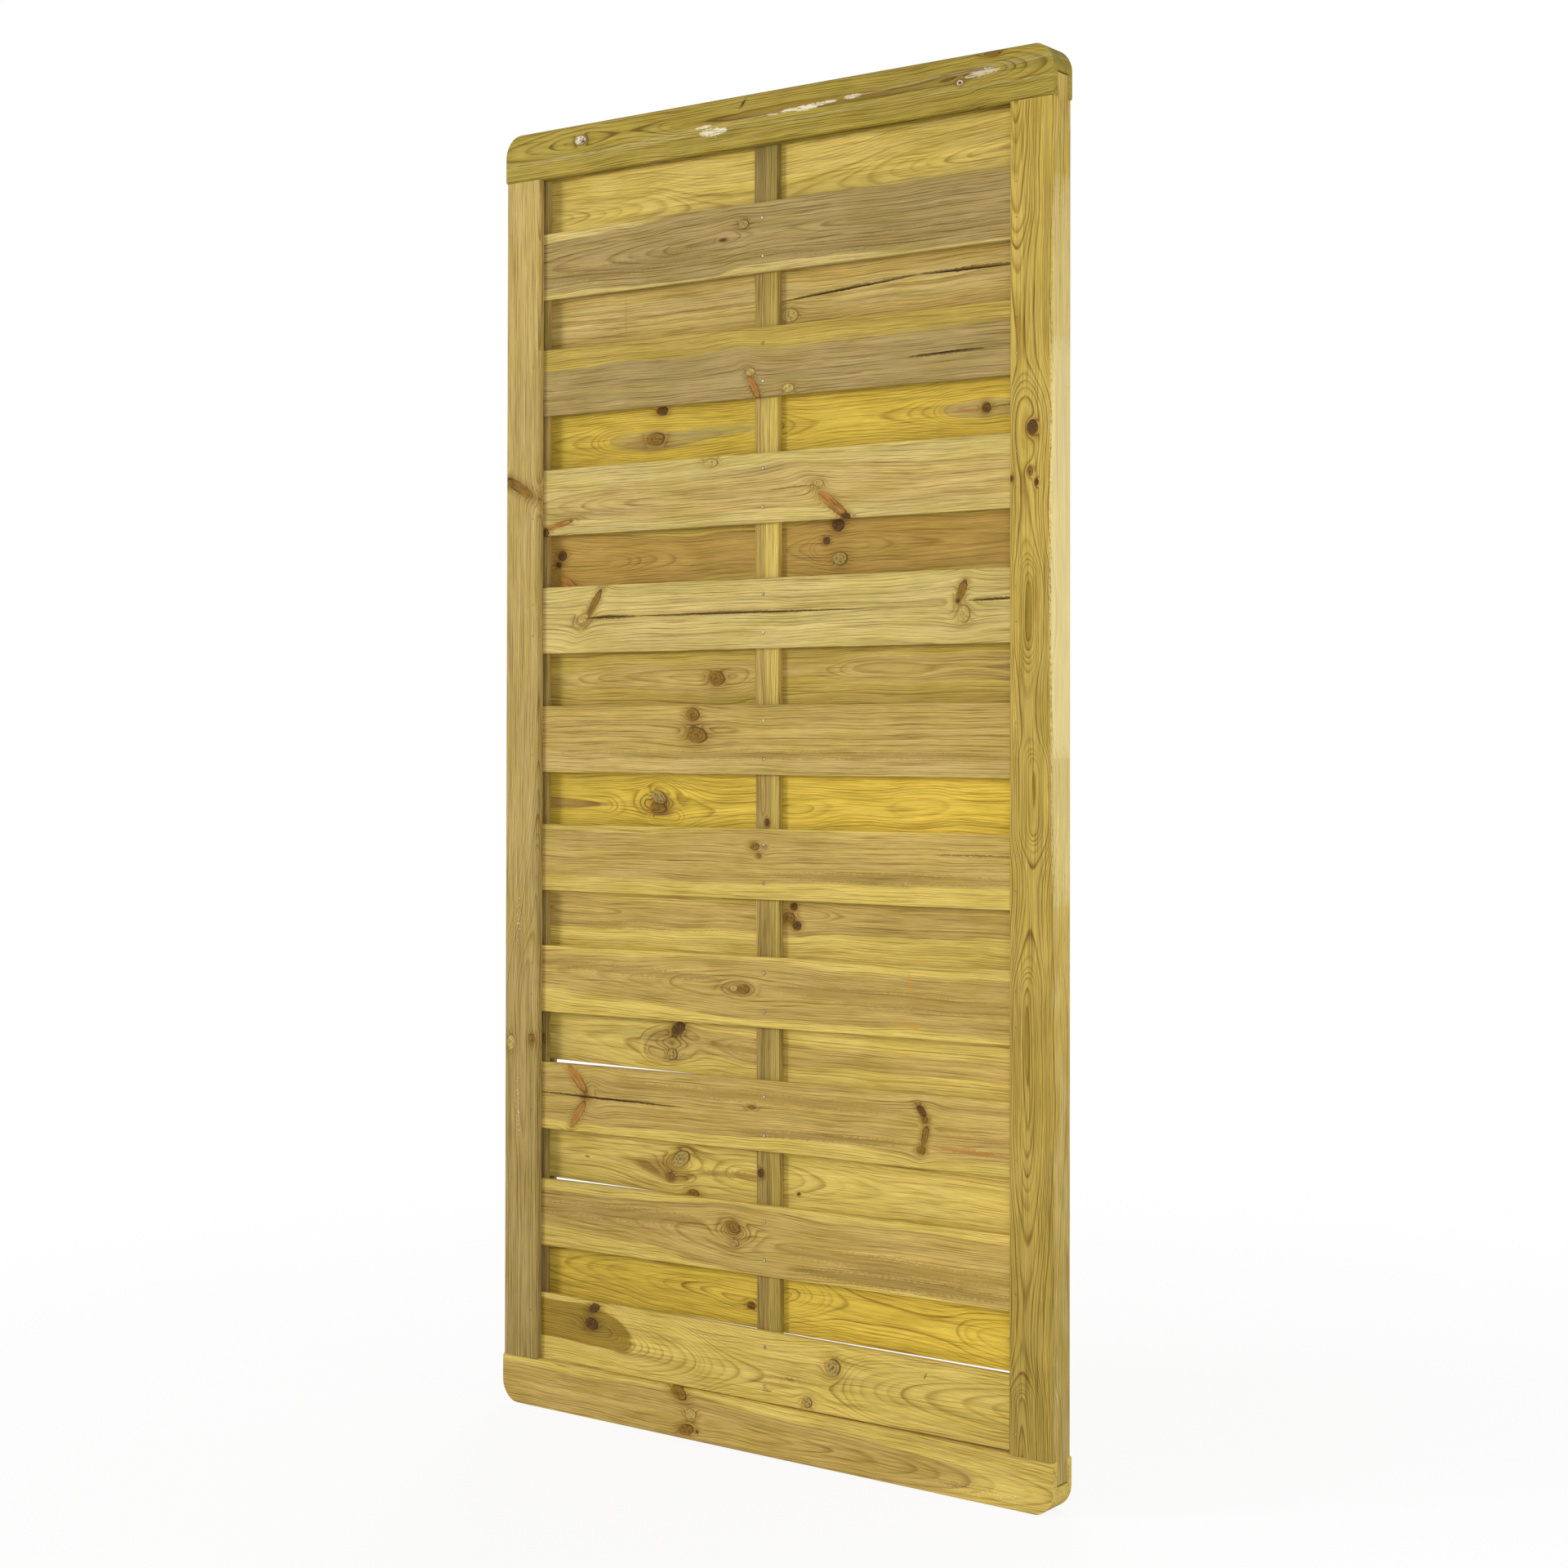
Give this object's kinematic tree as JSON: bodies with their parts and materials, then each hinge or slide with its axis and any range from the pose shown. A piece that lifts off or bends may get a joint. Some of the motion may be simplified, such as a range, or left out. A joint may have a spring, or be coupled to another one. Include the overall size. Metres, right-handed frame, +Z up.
{
  "type": "privacy fence panel",
  "caption": "Timber fence panel: a grooved frame with rounded outer corners holds two staggered rows of horizontal slats, nailed to an upright batten between them.",
  "frame": {"origin": "under the middle of the panel, on the plane that the bottom rail stands on, midway through the frame's thickness", "axes": "+Z up along the stiles, +X to the right along the rails when seen from the front, front face towards -Y"},
  "size_m": [0.9, 0.045, 1.8],
  "materials": {
    "treated_pine": "planed softwood with a green-yellow preservative tint, matt",
    "zinc_steel": "zinc-coated wire, slightly dulled"
  },
  "bodies": {
    "root": {"top_rail": "treated_pine", "bottom_rail": "treated_pine", "left_stile": "treated_pine", "right_stile": "treated_pine", "centre_batten": "treated_pine", "front_slat_01": "treated_pine", "front_slat_02": "treated_pine", "front_slat_03": "treated_pine", "front_slat_04": "treated_pine", "front_slat_05": "treated_pine", "front_slat_06": "treated_pine", "front_slat_07": "treated_pine", "front_slat_08": "treated_pine", "front_slat_09": "treated_pine", "front_slat_10": "treated_pine", "rear_slat_01": "treated_pine", "rear_slat_02": "treated_pine", "rear_slat_03": "treated_pine", "rear_slat_04": "treated_pine", "rear_slat_05": "treated_pine", "rear_slat_06": "treated_pine", "rear_slat_07": "treated_pine", "rear_slat_08": "treated_pine", "rear_slat_09": "treated_pine", "rear_slat_10": "treated_pine", "front_batten_nails": "zinc_steel", "rear_batten_nails": "zinc_steel", "front_left_pins": "zinc_steel", "front_right_pins": "zinc_steel", "rear_left_pins": "zinc_steel", "rear_right_pins": "zinc_steel"}
  },
  "joints": []
}
